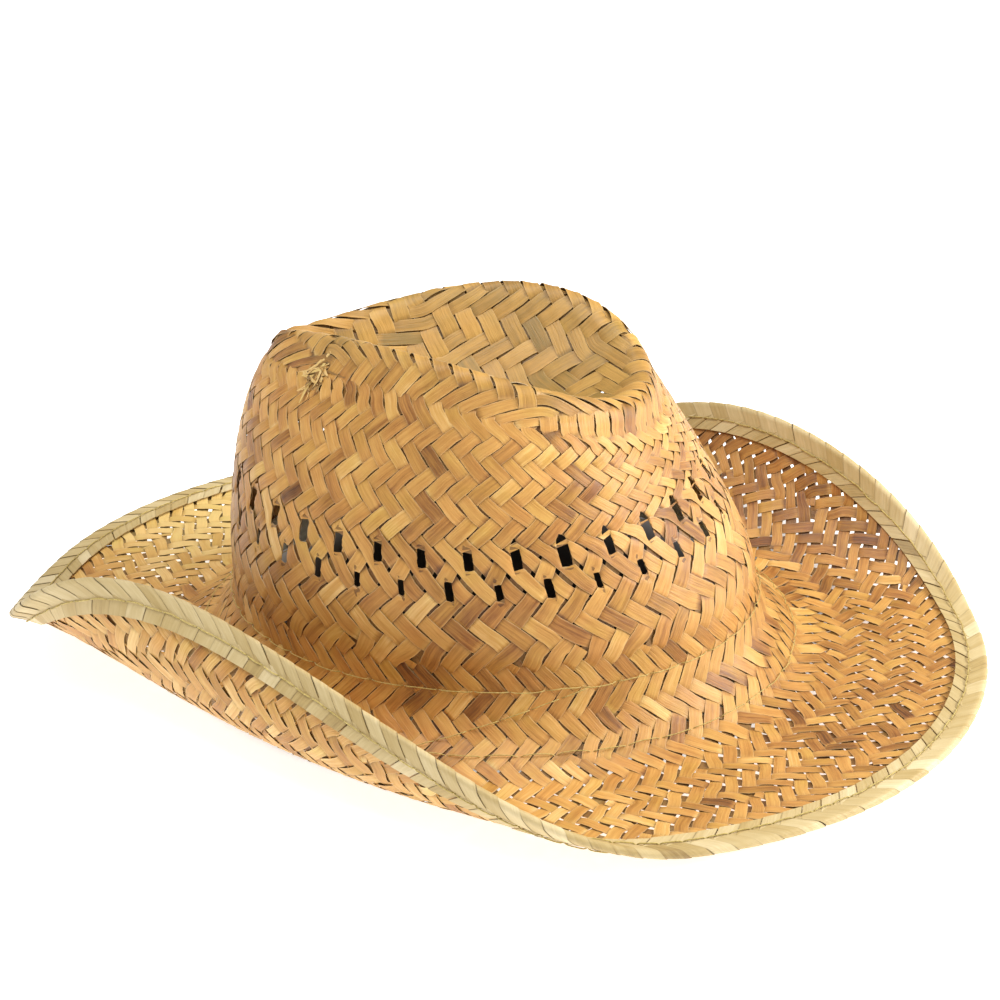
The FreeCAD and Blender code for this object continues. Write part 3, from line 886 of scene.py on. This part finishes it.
def build_weave():
    """All strips, dealt out to five pieces."""
    places, strips = all_strips()
    tables = crossing_tables(places)
    links = lane_tables(tables, strips)
    t = np.arange(SAMPLES) / SAMPLES
    meshes = [StrawMesh() for _ in range(5)]
    owners = [[] for _ in meshes]
    for number, strip in enumerate(strips):
        if len(strip.rings) < 3:
            continue
        rows = [tables[r] for r in strip.rings]
        points, normals, margin = (
            np.array([row[column][p] for row, p in zip(rows, strip.places)]) for column in range(3)
        )
        rings, over = np.array(strip.rings, float), np.array(strip.over)
        lane = np.minimum(lane_width(links, number, strip), WIDEST_LANE)
        half = 0.5 * lane * fill_share(rings) * rng.normal(1.0, 0.02)
        half = half * rng.normal(1.0, 0.015, len(half))
        chosen = chosen_stations(rings, margin, t)
        if chosen is None:
            continue
        centre, half = catmull(points, t)[chosen], straight(half, t)[chosen]
        normal = unit(catmull(normals, t))[chosen]
        lift = (smooth_steps(np.where(over, LIFT, -LIFT), t) + bulges(over, t))[chosen]
        side = unit(np.cross(normal, unit(np.gradient(centre, axis=0))))
        dent, far = dent_share(rings), far_share(rings, points)
        # painted light and shade: darker dent, paler front and far left of the brim, darker back of the brim
        shift = DENT_SHADE_TONE * dent + FAR_LIGHT_TONE * far + BRIM_LIGHT_TONE * brim_light_share(rings, points)
        tone = stepped(float_tones(over) + shift, t)[chosen]
        # painted shade: a face low in the weave is darker; the lower faces take it from the other side
        height = np.where(SECTION[None, :, 1] > 0, lift[:, None], -lift[:, None])
        shade = np.clip((height + SHADE_START) / SHADE_RANGE, 0, 1)
        yellow = straight(np.clip(0.8 * dent + far, 0, 1), t)[chosen]
        wave = rng.normal(0, EDGE_WAVE, len(half))
        halves = (half * (1 + wave), half * (1 - wave))
        kind = number % len(meshes)
        seed = number * 0.618 % SEEDS
        meshes[kind].add(centre, side, normal, halves, lift, STRAW, tone, seed, shade, yellow)
        owners[kind].append(np.repeat(centre, len(SECTION), axis=0))
    material = straw_material("woven_straw", STRAW_STOPS)
    vents = vent_places()
    for n, (mesh, own) in enumerate(zip(meshes, owners)):
        verts = np.concatenate(mesh.columns["verts"])
        open_slits(verts, np.concatenate(own), vents)
        mesh.columns["verts"] = [verts]
        mesh.build(f"straw_strips_{n + 1}", material, "woven_body", "straw")


def build_torn_knot():
    """Frayed straw ends where a strip has broken at the front corner of the crown's ridge."""
    local = np.random.default_rng(23)
    mesh = StrawMesh()
    t = np.linspace(0, 1, 9)
    for number in range(KNOT_ENDS):
        u = KNOT_U + local.normal(0, 0.007)
        ring = KNOT_RING + local.normal(0.3, 0.6)
        length = local.uniform(0.8, 2.2) * (t - 0.3)
        turn = local.normal(0.25, 0.75)
        bend = local.normal(0, 0.7)
        along = np.clip(ring + length * math.cos(turn) + 0.25 * bend * t * t, 0, LAST_RING)
        around = u + (length * math.sin(turn) + 0.3 * bend * t * t) / WALL_CROSSINGS
        centre = surface.look(surface.points, around, along)
        normal = surface.look(surface.normals, around, along)
        side = unit(np.cross(normal, np.gradient(centre, axis=0)))
        half = local.uniform(0.25, 1.0) * (1 - 0.8 * t ** 2)
        lift = 0.6 + local.uniform(0.3, 2.4) * t ** 2 + 0.3 * np.sin(4 * t + number)
        tone = np.full(len(t), local.choice([0.15, 0.5, 0.9, 1.1]))
        shade = np.ones((len(t), len(SECTION)))
        yellow = np.full(len(t), 0.4)
        mesh.add(centre, side, normal, (half, half), lift, 0.16, tone, number * 1.7, shade, yellow)
    mesh.build("torn_straw_ends", straw_material("torn_straw", STRAW_STOPS), "woven_body", "straw")


# ---- folded braid over the brim edge ----
TILE = 8.6                                # spacing of the braid's tiles along the edge
BRAID_MIDDLE = BINDING_INNER + 0.35       # middle of the braid's thickness, from the middle of the fold
BRAID_THICKNESS = 0.32
BRAID_BEND = 0.5 * np.pi * BRAID_MIDDLE   # length of each half of the fold's bend
BRAID_LIP = BINDING_WIDTH + FOLD_CENTRE + BRAID_BEND
BRAID_SEAM = BINDING_STITCH_IN + FOLD_CENTRE + BRAID_BEND


def edge_frame(theta, outward, height):
    """Point and normal beside the brim edge; beyond the edge the brim's tangent is followed."""
    width = brim_width(theta)
    inside = np.minimum(width + outward, width)
    point = brim_point(theta, inside)
    along = unit(point - brim_point(theta, inside - 0.05))
    side = theta + 0.002
    around = brim_point(side, inside / width * brim_width(side)) - point
    normal = unit(np.cross(along, around))
    point = point + along * (width + outward - inside)[:, None]
    return point + normal * height[:, None], normal


def edge_thetas():
    """A function that gives the angle at a share of the brim edge's length, and that length."""
    theta = ring_angles(2401)
    run = running_length(brim_point(theta, brim_width(theta)))
    return lambda share: np.interp(np.mod(share, 1.0) * run[-1], run, theta), run[-1]


edge_at, EDGE_LENGTH = edge_thetas()


def braid_place(share, q, offset):
    """Points of the braid: q runs from the upper lip (negative) over the fold to the lower lip."""
    angle = 0.5 * np.pi * (1 + np.clip(q / BRAID_BEND, -1, 1))
    flat = np.maximum(np.abs(q) - BRAID_BEND, 0)
    outward = np.where(flat > 0, FOLD_CENTRE - flat, FOLD_CENTRE + offset * np.sin(angle))
    return edge_frame(edge_at(share), outward, offset * np.cos(angle))[0]


def braid_row(row):
    """One tile of a row: its stations over the fold, slant, height, width and tilt to its neighbour."""
    if row == 0:
        q = np.linspace(-BRAID_SEAM, BRAID_SEAM, 19)
        lift = 0.18 - 0.2 * (np.abs(q) / BRAID_SEAM) ** 6
        return q, q, lift, 0.5 * rng.normal(1.02, 0.02), 0.13
    q = row * np.linspace(BRAID_SEAM - 1.6, BRAID_LIP, 7)
    inside = np.abs(q) - BRAID_SEAM
    lift = 0.12 * np.clip((inside + 0.6) / 2.0, -1, 1)
    return q, -row * 0.95 * inside, lift, 0.5 * rng.normal(1.0, 0.02), -0.13


def build_binding():
    """Flat plait folded over the edge: slanted tiles on the fold, tiles of the other slant inside them."""
    tiles = int(EDGE_LENGTH / TILE)
    pitch = 1.0 / tiles
    across = SECTION[:, 0]
    height = SECTION[:, 1] * BRAID_THICKNESS
    places, strips, tones = [], [], []
    for n in range(tiles):
        for row in (0, 1, -1):
            q, slant, lift, wide, tilt = braid_row(row)
            middle = (n + (0.5 if row else 0.0) + rng.normal(0, 0.02)) * pitch + slant / EDGE_LENGTH
            share = middle[:, None] + across[None, :] * wide * pitch
            # one long edge of each tile lies on its neighbour
            rise = lift[:, None] + height[None, :] + tilt * across[None, :]
            places.append((share, np.repeat(q[:, None], len(across), 1), BRAID_MIDDLE + rise))
            strip = np.zeros(share.shape + (3,))
            strip[..., 0] = 1.4 * q[:, None]
            strip[..., 1] = across[None, :]
            strip[..., 2] = (n * 3.7 + row) % SEEDS
            strips.append(strip)
            tones.append(MIDDLE_TONE + rng.normal(0, 0.13))
    points = braid_place(*(np.concatenate([p[k].ravel() for p in places]) for k in range(3)))
    mesh = StrawMesh()
    start = 0
    for strip, tone in zip(strips, tones):
        size = strip.shape[0] * strip.shape[1]
        verts = points[start:start + size].reshape(strip.shape)
        mesh.add_rows(verts, strip, np.full(size, tone), np.ones(size), np.zeros(size))
        start += size
    material = straw_material("braid_straw", BRAID_STOPS, 0.55, 0.8, True)
    mesh.build("edge_braid", material, "edge_binding", "braid")


# ---- threads ----

THREAD_SIDES = 6
THREAD_R, CROWN_THREAD_R = 0.24, 0.18
STITCH_POINTS = 9                 # stations along one stitch
CROSSOVER = (0.248, 0.3615)       # shares of the way round where the sewing climbs to the upper line
SEAM_STITCHES, SEAM_STEP, SEAM_STITCH_LENGTH = 6, 2.6, 5.0
SEAM_TOP_Z = 22.0


class TubeMesh:
    """Gathers round threads as one mesh."""

    def __init__(self):
        self.verts, self.faces, self.count = [], [], 0

    def add(self, centre, radius):
        tangent = unit(np.gradient(centre, axis=0))
        reference = np.where(np.abs(tangent[:, 2:3]) < 0.9, [[0.0, 0.0, 1.0]], [[1.0, 0.0, 0.0]])
        side = unit(np.cross(tangent, reference))
        rise = np.cross(side, tangent)
        turn = 2 * np.pi * np.arange(THREAD_SIDES) / THREAD_SIDES
        ring = side[:, None] * np.cos(turn)[None, :, None] + rise[:, None] * np.sin(turn)[None, :, None]
        self.verts.append((centre[:, None] + ring * radius).reshape(-1, 3))
        self.faces += sleeve_faces(self.count, len(centre), THREAD_SIDES, -1)
        self.count += len(centre) * THREAD_SIDES

    def build(self, name, material, node):
        piece = mesh_object(name, np.concatenate(self.verts), self.faces, material)
        place_piece(piece, node)


def thread_material():
    n = Nodes("sewing_thread")
    place = n.node("ShaderNodeTexCoord").outputs["Object"]
    ply = n.noise(place, 900.0)
    n.surface(n.ramp(ply, stops((0.3, 160, 136, 60), (0.7, 204, 182, 104))), 0.62)
    n.put(n.shader.inputs["Sheen Weight"], 0.2)
    n.bump(ply, 0.0002, 0.6)
    return n.material


def stitched_line(tube, place, length, stitch, seed, radius=THREAD_R):
    """Long stitches along a line; place(share, height, drift) gives points. Each dips into the weave."""
    local = np.random.default_rng(seed)
    count = int(length / stitch)
    bow = np.sin(np.linspace(0, np.pi, STITCH_POINTS))
    height = -0.55 + 1.15 * np.clip(bow * 2.2, 0, 1)
    for n in range(count):
        share = np.linspace((n + 0.02) / count, (n + 0.98) / count, STITCH_POINTS)
        tube.add(place(share, height, local.normal(0, 0.22) * bow), radius)


def fillet_distance(z):
    """How far out the fillet is at height z."""
    return FILLET - np.sqrt(FILLET ** 2 - (FILLET - z) ** 2)


def crown_line(z, side, rise=0.0, first=0.0, last=1.0):
    """place() for a stitch line that starts at height z; side 1 is outside, -1 inside.

    The line runs from the first to the last share of the way round and climbs by rise.
    """
    theta = ring_angles(1201)
    run = running_length(brim_point(theta, fillet_distance(z)))
    base = 0.85 if side > 0 else -(WEAVE / 2 + BAND_CLEAR + BAND + 0.25)

    def place(share, height, drift):
        at = np.interp(np.mod(first + share * (last - first), 1.0) * run[-1], run, theta)
        point, normal = brim_frame(at, fillet_distance(z + rise * share + drift))
        return point + normal * (base + side * height)[:, None]

    return place, run[-1] * (last - first)


def braid_line(side):
    """place() for the stitch line along the braid; side 1 is its upper face, -1 its lower face."""
    def place(share, height, drift):
        theta = edge_at(share)
        point, normal = edge_frame(theta, -BINDING_STITCH_IN + drift, np.zeros_like(theta))
        return point + normal * (side * (BINDING_INNER + 0.85 + height * 0.5))[:, None]

    return place


def build_threads():
    material = thread_material()
    for name, node, z, seed in (
        ("upper_band_stitches", "sweatband_upper_stitch", UPPER_STITCH_Z, 3),
        ("lower_band_stitches", "sweatband_lower_stitch", LOWER_STITCH_Z, 5),
    ):
        tube = TubeMesh()
        for side, stitch in ((1, 13.0), (-1, 9.0)):
            place, length = crown_line(z, side)
            stitched_line(tube, place, length, stitch, seed + side, CROWN_THREAD_R)
        if z == LOWER_STITCH_Z:
            # the sewing run climbs from the lower line to the upper one on this side
            place, length = crown_line(z, 1, UPPER_STITCH_Z - z, *CROSSOVER)
            stitched_line(tube, place, length, 11.0, seed, CROWN_THREAD_R)
        tube.build(name, material, node)

    tube = TubeMesh()
    for side in (1, -1):
        stitched_line(tube, braid_line(side), EDGE_LENGTH, 8.5, 7 + side)
    tube.build("braid_stitches", material, "binding_stitch")

    tube = TubeMesh()
    half = 0.5 * SEAM_STITCH_LENGTH
    theta = 0.5 * np.pi + np.linspace(-half, half, STITCH_POINTS) / BASE_X
    arch = np.clip(np.sin(np.linspace(0, np.pi, STITCH_POINTS)) * 2, 0, 1)
    for i in range(SEAM_STITCHES):
        point, normal = brim_frame(theta, fillet_distance(SEAM_TOP_Z - i * SEAM_STEP))
        tube.add(point - normal * (2.0 + 0.55 * arch)[:, None], THREAD_R)
    tube.build("band_seam_stitches", material, "sweatband_seam_stitch")


# ---- sweatband ----

def band_material():
    n = Nodes("cotton_twill_band")
    place = n.attribute("strip")
    run, height, _ = n.split(place)
    diagonal = n.plus(n.times(run, 9.0), n.times(height, 9.0))
    twill = n.plus(n.times(n.maths("SINE", diagonal), 0.5), 0.5)
    soil = n.noise(n.stretched(place, (0.02, 0.12, 0.0)), 1.0, 3.0)
    value = n.plus(n.times(twill, 0.35), n.times(soil, 0.65))
    n.surface(n.ramp(value, stops((0.25, 172, 158, 122), (0.75, 222, 211, 180))), 0.85)
    n.put(n.shader.inputs["Sheen Weight"], 0.35)
    n.bump(twill, 0.00015, 0.8)
    return n.material


BAND_AROUND, BAND_DOWN = 360, 15    # stations around the band and down it
BAND_MIDDLE = WEAVE / 2 + BAND_CLEAR + 0.5 * BAND
HEM_SHARE = 0.09                    # width of each rolled hem


def band_layer(theta, layer):
    """Rows of one face of the band, and the run, height and layer of each point."""
    verts, strip = [], []
    for row in range(BAND_DOWN):
        share = row / (BAND_DOWN - 1)
        z = BAND_TOP_Z + (BAND_LOW_Z - BAND_TOP_Z) * share
        point, normal = brim_frame(theta, fillet_distance(z))
        hem = 0.28 * (math.exp(-(share / HEM_SHARE) ** 2) + math.exp(-((1 - share) / HEM_SHARE) ** 2))
        ripple = 0.16 * np.sin(theta * 23 + 2 * share) + 0.1 * np.sin(theta * 61 + 5 * share)
        depth = BAND_MIDDLE + (0.38 + hem + ripple if layer else -0.38)
        end = 1.0 if 0 < row < BAND_DOWN - 1 else 0.4
        depth = BAND_MIDDLE + (depth - BAND_MIDDLE) * end
        verts.append(point - normal * np.broadcast_to(depth, theta.shape)[:, None])
        run = theta * 95.0
        strip.append(np.stack([run, np.full_like(run, z), np.full_like(run, layer)], -1))
    return verts, strip


def band_faces():
    """Faces of the closed band: outer layer, lower edge, inner layer, upper edge and two ends."""
    down, wide = BAND_DOWN, BAND_AROUND + 1
    faces = []
    for row in range(2 * down - 1):
        a = row * wide
        b = (2 * down - 1) * wide if row == down - 1 else a + wide
        for i in range(BAND_AROUND):
            face = [a + i, b + i, b + i + 1, a + i + 1]
            faces.append(face if row < down else face[:1] + face[:0:-1])
    for i in range(BAND_AROUND):
        faces.append([i, i + 1, down * wide + i + 1, down * wide + i])
    end = [row * wide for row in [*range(down), *range(2 * down - 1, down - 1, -1)]]
    return faces + [end[::-1], [v + BAND_AROUND for v in end]]


def build_band():
    """Fabric band with rolled hems, soft ripples and a butt joint at the back."""
    half_butt = 0.5 * BAND_BUTT / BASE_X
    theta = 0.5 * np.pi + half_butt + (2 * np.pi - 2 * half_butt) * np.arange(BAND_AROUND + 1) / BAND_AROUND
    outer, inner = band_layer(theta, 0), band_layer(theta, 1)
    verts = np.concatenate(outer[0] + inner[0])
    piece = mesh_object("fabric_sweatband", verts, band_faces(), band_material())
    add_vectors(piece.data, np.concatenate(outer[1] + inner[1]))
    place_piece(piece, "sweatband")


def metal_material(name, ramp):
    n = Nodes(name)
    place = n.node("ShaderNodeTexCoord").outputs["Object"]
    worn = n.noise(place, 240.0, 4.0)
    n.surface(n.ramp(worn, ramp), n.plus(n.times(worn, 0.3), 0.25))
    n.put(n.shader.inputs["Metallic"], 1.0)
    n.bump(worn, 0.00005, 0.4)
    return n.material


def finish_carried_nodes():
    """Metal for the two CAD nodes that are shown as they are."""
    steel = metal_material("drawn_steel", stops((0.35, 120, 120, 118), (0.7, 180, 180, 176)))
    aluminium = metal_material("crimped_aluminium", stops((0.35, 150, 151, 152), (0.7, 204, 205, 206)))
    for node, material in (("brim_wire", steel), ("wire_sleeve", aluminium)):
        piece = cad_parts[node]
        piece.data.materials.clear()
        piece.data.materials.append(material)


# ---- stage, light and camera ----

# ellipses on the floor: centre, half-sizes, and the shares of them where a change starts and ends
# painted shadow: the floor turns dark under the hat, fading out towards this ellipse's edge
SHADOW_UNDER_HAT = ((-38, -14), (112, 114), (0.55, 1.2))
# painted light: the floor glows beyond this ellipse, washing out the hat's shadow
GLOW_FREE = ((-60, 0), (BRIM_X + 60, BRIM_FRONT), (0.5, 0.75))
FLOOR_STOPS = [(0.0, (0.9, 0.9, 0.9, 1)), (1.0, (0.94, 0.94, 0.94, 1))]
# the first is the colour of the painted shadow under the hat, the second the strength of the floor's glow,
# painted light that washes out the hat's shadow
FLOOR_PAINTED_SHADOW, FLOOR_GLOW, FLOOR_HALF = (0.03, 0.025, 0.02, 1), 0.75, 6000.0
WHITE = (1.0, 1.0, 1.0, 1.0)
WORLD_STRENGTH = 0.42


def beyond(n, place, centre, half, change):
    """0 inside an ellipse on the floor, 1 beyond it, changing between two shares of its size."""
    middle = (centre[0] * MM, centre[1] * MM, 0.0)
    moved = n.node("ShaderNodeVectorMath", (place, middle), operation="SUBTRACT").outputs[0]
    scaled = n.stretched(moved, (1000 / half[0], 1000 / half[1], 0.0))
    reach = n.node("ShaderNodeVectorMath", (scaled,), operation="LENGTH").outputs["Value"]
    share = n.maths("SUBTRACT", reach, change[0])
    share = n.maths("DIVIDE", share, change[1] - change[0])
    return n.maths("MINIMUM", n.maths("MAXIMUM", share, 0.0), 1.0)


def floor_material():
    """Pale floor that glows softly around the hat, painted light that washes out its shadow there, and fades
    to a painted shadow under the head opening.
    """
    n = Nodes("pale_floor")
    place = n.node("ShaderNodeTexCoord").outputs["Object"]
    colour = n.ramp(n.noise(place, 30.0, 3.0), FLOOR_STOPS)
    # painted shadow on the floor under the head opening
    outside = n.maths("POWER", beyond(n, place, *SHADOW_UNDER_HAT), 2.0)
    n.surface(n.mix(outside, FLOOR_PAINTED_SHADOW, colour), 0.9)
    n.put(n.shader.inputs["Emission Color"], WHITE)
    # painted light: the floor glows away from the hat, washing out its shadow
    glow = n.times(n.times(beyond(n, place, *GLOW_FREE), FLOOR_GLOW), outside)
    n.put(n.shader.inputs["Emission Strength"], glow)
    return n.material


def build_stage():
    low, half = CAD_BOX[0][2] / MM, FLOOR_HALF
    corners = [(-half, -half, low), (half, -half, low), (half, half, low), (-half, half, low)]
    mesh_object("floor", np.array(corners), [[0, 1, 2, 3]], floor_material(), smooth=False)

    world = bpy.data.worlds.new("studio")
    bpy.context.scene.world = world
    world.use_nodes = True
    background = world.node_tree.nodes["Background"]
    background.inputs["Color"].default_value = WHITE
    background.inputs["Strength"].default_value = WORLD_STRENGTH
    bpy.context.scene.view_settings.view_transform = "Standard"


AZIMUTH, ELEVATION, ROLL = (math.radians(v) for v in (112.0, 29.06, -3.93))
DISTANCE = 1.25
CAMERA = {"sensor_width": 36.0, "lens": 116.4, "shift_x": 0.003, "shift_y": 0.1352, "clip_end": 50.0}
# place of each light along the camera's right, up and back, then its size and power:
# the key from the right of the picture and above, the wide fill from beside the camera
LIGHTS = {
    "key": ((1.5, 0.72, 0.55), 0.85, 33.0),
    "fill": ((-0.3, 1.2, 0.8), 1.0, 15.0),
}
LIGHT_AIM = Vector((0, 0, 0.05))


def camera_axes():
    """Right, up and back directions of the camera."""
    flat = math.cos(ELEVATION)
    back = Vector((math.sin(AZIMUTH) * flat, -math.cos(AZIMUTH) * flat, math.sin(ELEVATION)))
    right = Vector((math.cos(AZIMUTH), math.sin(AZIMUTH), 0))
    up = back.cross(right)
    turned_right = right * math.cos(ROLL) + up * math.sin(ROLL)
    turned_up = up * math.cos(ROLL) - right * math.sin(ROLL)
    return turned_right, turned_up, back


def add_area(name, location, size, power):
    data = bpy.data.lights.new(name, "AREA")
    data.shape = "DISK"
    data.size = size
    data.energy = power
    light = bpy.data.objects.new(name, data)
    light.location = location
    light.rotation_euler = (LIGHT_AIM - location).to_track_quat("-Z", "Y").to_euler()
    bpy.context.scene.collection.objects.link(light)


def build_camera_and_light():
    right, up, back = camera_axes()
    data = bpy.data.cameras.new("photo_camera")
    for key, value in CAMERA.items():
        setattr(data, key, value)
    camera = bpy.data.objects.new("photo_camera", data)
    turned = Matrix((right, up, back)).transposed().to_4x4()
    camera.matrix_world = Matrix.Translation(back * DISTANCE) @ turned
    bpy.context.scene.collection.objects.link(camera)
    bpy.context.scene.camera = camera
    for name, (along, size, power) in LIGHTS.items():
        add_area(name, right * along[0] + up * along[1] + back * along[2], size, power)


build_weave()
build_torn_knot()
build_binding()
build_threads()
build_band()
finish_carried_nodes()
build_stage()
build_camera_and_light()

bpy.context.view_layer.update()
